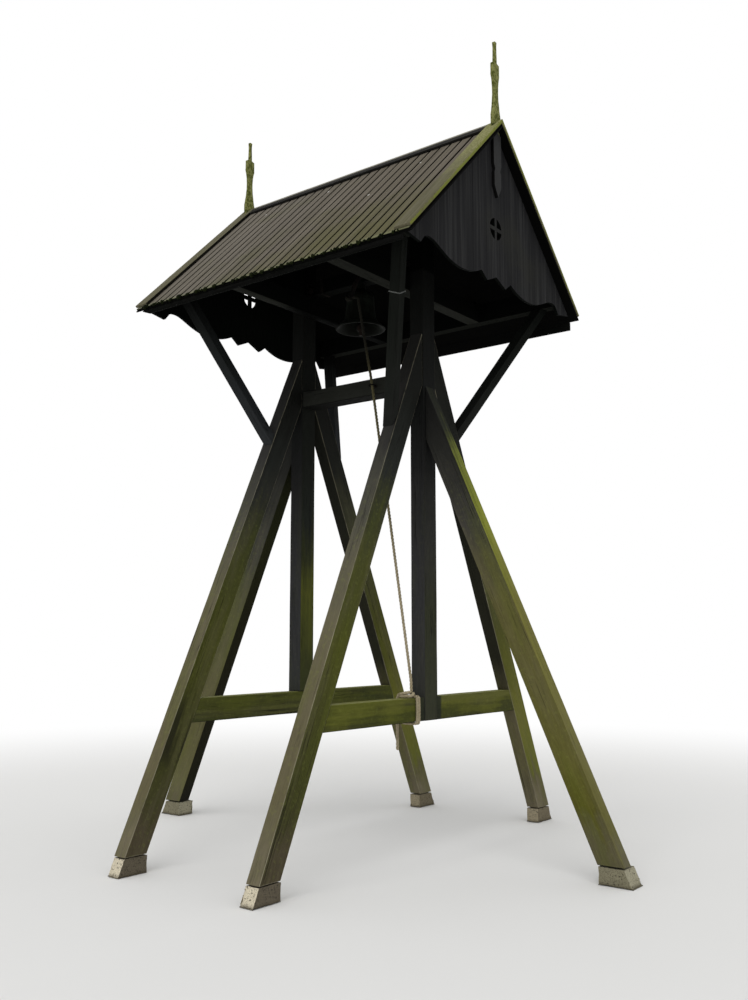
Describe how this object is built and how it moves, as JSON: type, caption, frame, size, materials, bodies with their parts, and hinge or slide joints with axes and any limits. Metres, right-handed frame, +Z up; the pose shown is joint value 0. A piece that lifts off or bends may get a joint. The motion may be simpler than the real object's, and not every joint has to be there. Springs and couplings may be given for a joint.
{
  "type": "bell tower",
  "caption": "Open timber bell tower on concrete blocks, with leaning legs and struts, a boarded gable roof, and a bell that swings on its headstock, rung by a rope",
  "frame": {"origin": "on the ground, in the middle between the six foot blocks", "axes": "+Z up, X along the ridge, Y across the ridge"},
  "size_m": [4.7062, 3.8894, 6.415],
  "materials": {
    "tarred_oak": "matte",
    "roof_boards": "matte",
    "mossy_board": "matte",
    "gable_boards": "matte",
    "concrete": "matte",
    "bronze": "satin",
    "iron": "matte",
    "rope": "matte"
  },
  "bodies": {
    "tower": {"foot_block_left_near": "concrete", "foot_block_left_far": "concrete", "foot_block_left_end": "concrete", "foot_block_right_near": "concrete", "foot_block_right_far": "concrete", "foot_block_right_end": "concrete", "leg_left_near": "tarred_oak", "leg_left_far": "tarred_oak", "leg_right_near": "tarred_oak", "leg_right_far": "tarred_oak", "end_strut_left": "tarred_oak", "centre_post_left": "tarred_oak", "lower_tie_left": "tarred_oak", "tie_beam_left": "tarred_oak", "king_post_left": "tarred_oak", "end_strut_right": "tarred_oak", "centre_post_right": "tarred_oak", "lower_tie_right": "tarred_oak", "tie_beam_right": "tarred_oak", "king_post_right": "tarred_oak", "middle_beam": "tarred_oak", "ridge_beam": "tarred_oak", "eave_plate_near": "tarred_oak", "eave_plate_far": "tarred_oak", "corner_brace_left_near": "tarred_oak", "corner_brace_left_far": "tarred_oak", "corner_brace_right_near": "tarred_oak", "corner_brace_right_far": "tarred_oak", "roof_slope_near": "roof_boards", "eave_board_near": "tarred_oak", "roof_slope_far": "roof_boards", "eave_board_far": "tarred_oak", "verge_board_left_near": "mossy_board", "verge_board_left_far": "mossy_board", "verge_board_right_near": "mossy_board", "verge_board_right_far": "mossy_board", "ridge_cap": "mossy_board", "gable_left": "gable_boards", "finial_left": "mossy_board", "bearing_left": "iron", "gable_right": "gable_boards", "finial_right": "mossy_board", "bearing_right": "iron", "rope_guide": "iron", "rope": "rope", "rope_hitch": "rope", "rope_tail": "rope"},
    "swinging_bell": {"bell": "bronze", "clapper": "iron", "headstock": "tarred_oak", "swing_pins": "iron", "headstock_bands": "iron", "bell_bolt": "iron", "ringing_lever": "iron", "rope_knot": "rope"}
  },
  "joints": [
    {"name": "bell_swing", "type": "hinge", "parent": "tower", "child": "swinging_bell", "pos_m": [0, 0, 4.74], "axis": [1, 0, 0], "range_deg": [-60, 60]}
  ]
}
